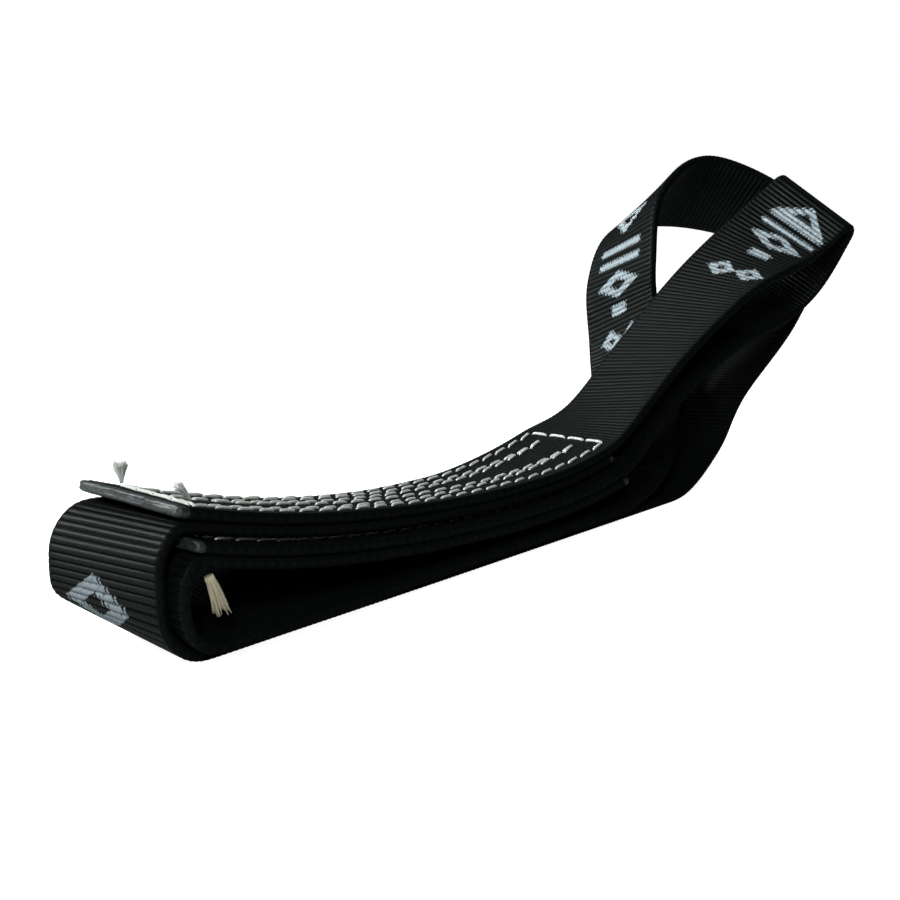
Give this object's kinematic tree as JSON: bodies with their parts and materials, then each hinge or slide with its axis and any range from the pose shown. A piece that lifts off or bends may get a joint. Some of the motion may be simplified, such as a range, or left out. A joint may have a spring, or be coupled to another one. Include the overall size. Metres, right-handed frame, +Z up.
{
  "type": "strap wrench strap",
  "caption": "Endless loop of ribbed black webbing with two sewn laps, lying folded in half; the strap of a strap wrench.",
  "frame": {"origin": "on the table under the middle of the sewn laps, halfway across the webbing", "axes": "+X along the strap from the near bends towards the far fold, +Y across the webbing, +Z up"},
  "size_m": [0.2486, 0.0687, 0.0801],
  "materials": {
    "webbing": "black nylon webbing, cross ribs, slight sheen",
    "thread": "white twisted sewing thread",
    "cream_thread": "frayed cream thread",
    "sealed_nylon": "melted and hardened nylon, slightly glossy"
  },
  "bodies": {
    "floor": {"floor_run_outer": "webbing", "floor_run_inner": "webbing", "floor_run_lead": "webbing", "outer_bend_lower": "webbing", "inner_bend_lower": "webbing"},
    "laps": {"outer_bend_upper": "webbing", "inner_bend_upper": "webbing", "upper_lap_outer": "webbing", "upper_lap_inner": "webbing", "lower_lap_outer": "webbing", "lower_lap_inner": "webbing", "upper_box_stitch": "thread", "upper_zigzag_stitch": "thread", "upper_bobbin_stitch": "thread", "lower_box_stitch": "thread", "lower_zigzag_stitch": "thread", "lower_bobbin_stitch": "thread", "upper_sealed_end": "sealed_nylon", "upper_hidden_end": "sealed_nylon", "lower_sealed_end": "sealed_nylon", "lower_hidden_end": "sealed_nylon"},
    "eye": {"top_run_near": "webbing", "return_run_near": "webbing"},
    "eye_tip": {"top_run_far": "webbing", "far_fold": "webbing", "return_run_far": "webbing"},
    "side_loop": {"rising_run": "webbing", "back_turn": "webbing", "loop_arch": "webbing", "loop_descent": "webbing"},
    "corner_thread": {"corner_tail": "thread"},
    "edge_thread": {"edge_tail": "thread"},
    "frayed_thread": {"frayed_tail": "cream_thread"}
  },
  "joints": [
    {"name": "near_fold", "type": "hinge", "parent": "floor", "child": "laps", "pos_m": [-0.065, 0, 0.0123], "axis": [0, -1, 0], "range_deg": [0, 30], "stiffness_Nm_per_rad": 0.05},
    {"name": "eye_lift", "type": "hinge", "parent": "laps", "child": "eye", "pos_m": [0.065, -0.0015, 0.0145], "axis": [0, -1, 0], "range_deg": [-1, 12], "stiffness_Nm_per_rad": 0.05},
    {"name": "eye_tip_flex", "type": "hinge", "parent": "eye", "child": "eye_tip", "pos_m": [0.1088, -0.0028, 0.0358], "axis": [-0.1807, -0.9835, 0], "range_deg": [-2, 8], "stiffness_Nm_per_rad": 0.03},
    {"name": "side_loop_drop", "type": "hinge", "parent": "floor", "child": "side_loop", "pos_m": [0.096, 0, 0.0045], "axis": [0, -1, 0], "range_deg": [-12, 1], "stiffness_Nm_per_rad": 0.05},
    {"name": "corner_thread_sway", "type": "hinge", "parent": "laps", "child": "corner_thread", "pos_m": [-0.0535, 0.0102, 0.0254], "axis": [0, 1, 0], "range_deg": [-20, 20], "stiffness_Nm_per_rad": 0.0005},
    {"name": "edge_thread_sway", "type": "hinge", "parent": "laps", "child": "edge_thread", "pos_m": [-0.0558, -0.009, 0.0261], "axis": [0, 1, 0], "range_deg": [-10, 15], "stiffness_Nm_per_rad": 0.0005},
    {"name": "frayed_thread_sway", "type": "hinge", "parent": "laps", "child": "frayed_thread", "pos_m": [-0.0566, -0.014, 0.0134], "axis": [0, 1, 0], "range_deg": [-20, 15], "stiffness_Nm_per_rad": 0.0005}
  ]
}
